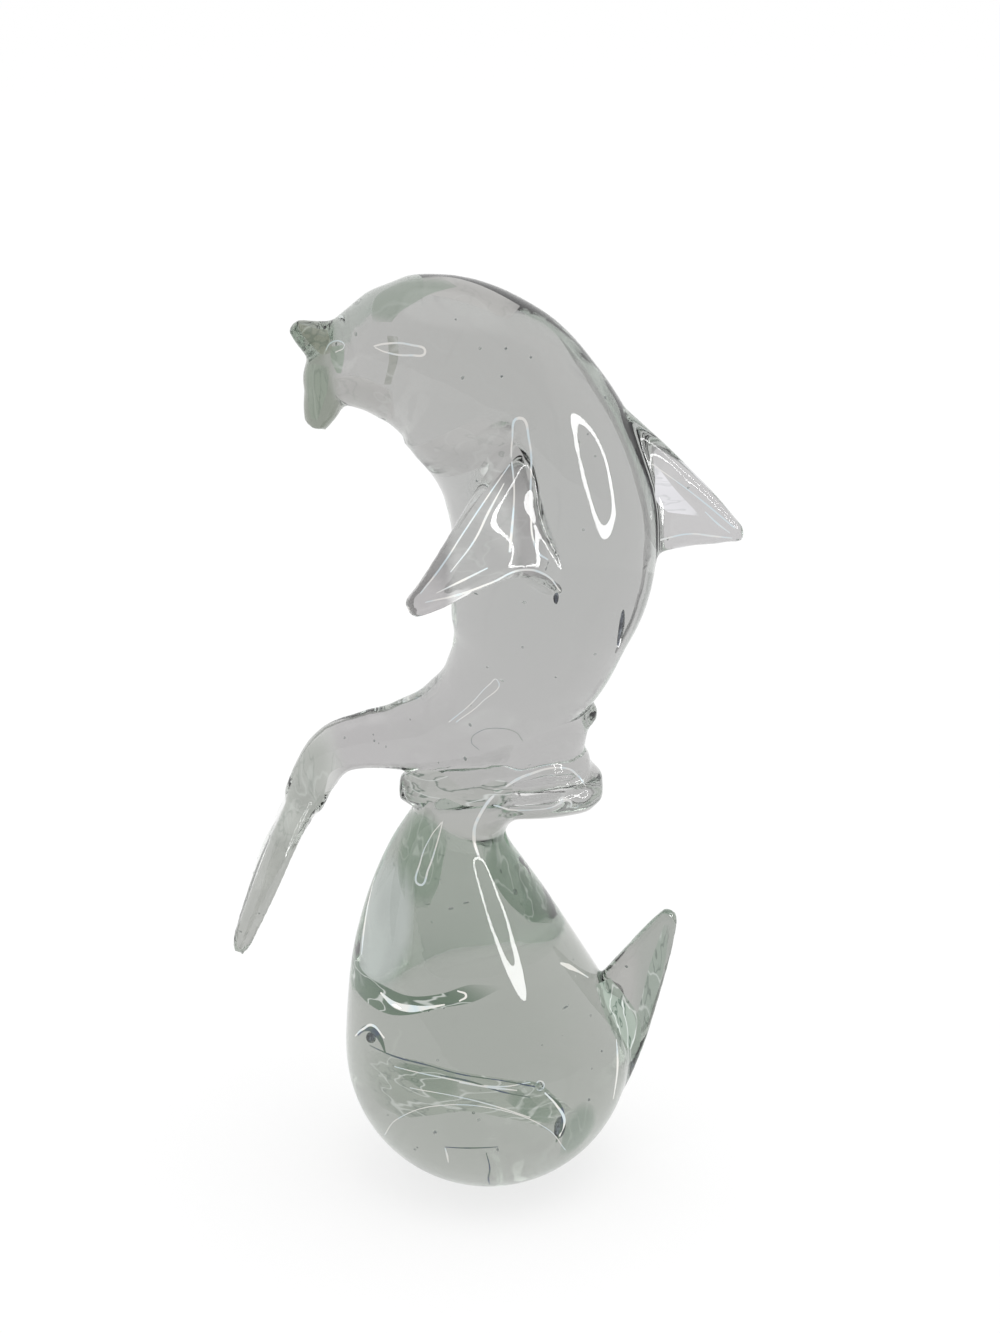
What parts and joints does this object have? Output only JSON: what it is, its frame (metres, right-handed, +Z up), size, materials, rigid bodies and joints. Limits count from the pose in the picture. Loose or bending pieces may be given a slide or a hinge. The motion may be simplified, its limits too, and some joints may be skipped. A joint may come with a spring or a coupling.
{
  "type": "dolphin figurine",
  "caption": "Solid clear glass dolphin leaping in a curve over a drop-shaped base with a pulled wave crest; stands on a flat ground face.",
  "frame": {"origin": "centre of the flat ground face that the base stands on", "axes": "+Z up through the base and the dolphin; -X towards the beak and tail flukes, +X towards the back fin and wave crest; the dolphin's middle plane is XZ"},
  "size_m": [0.1057, 0.0683, 0.2006],
  "materials": {
    "clear_glass": "clear fire-polished glass with a faint green tint"
  },
  "bodies": {
    "root": {"dolphin_figurine": "clear_glass"}
  },
  "joints": []
}
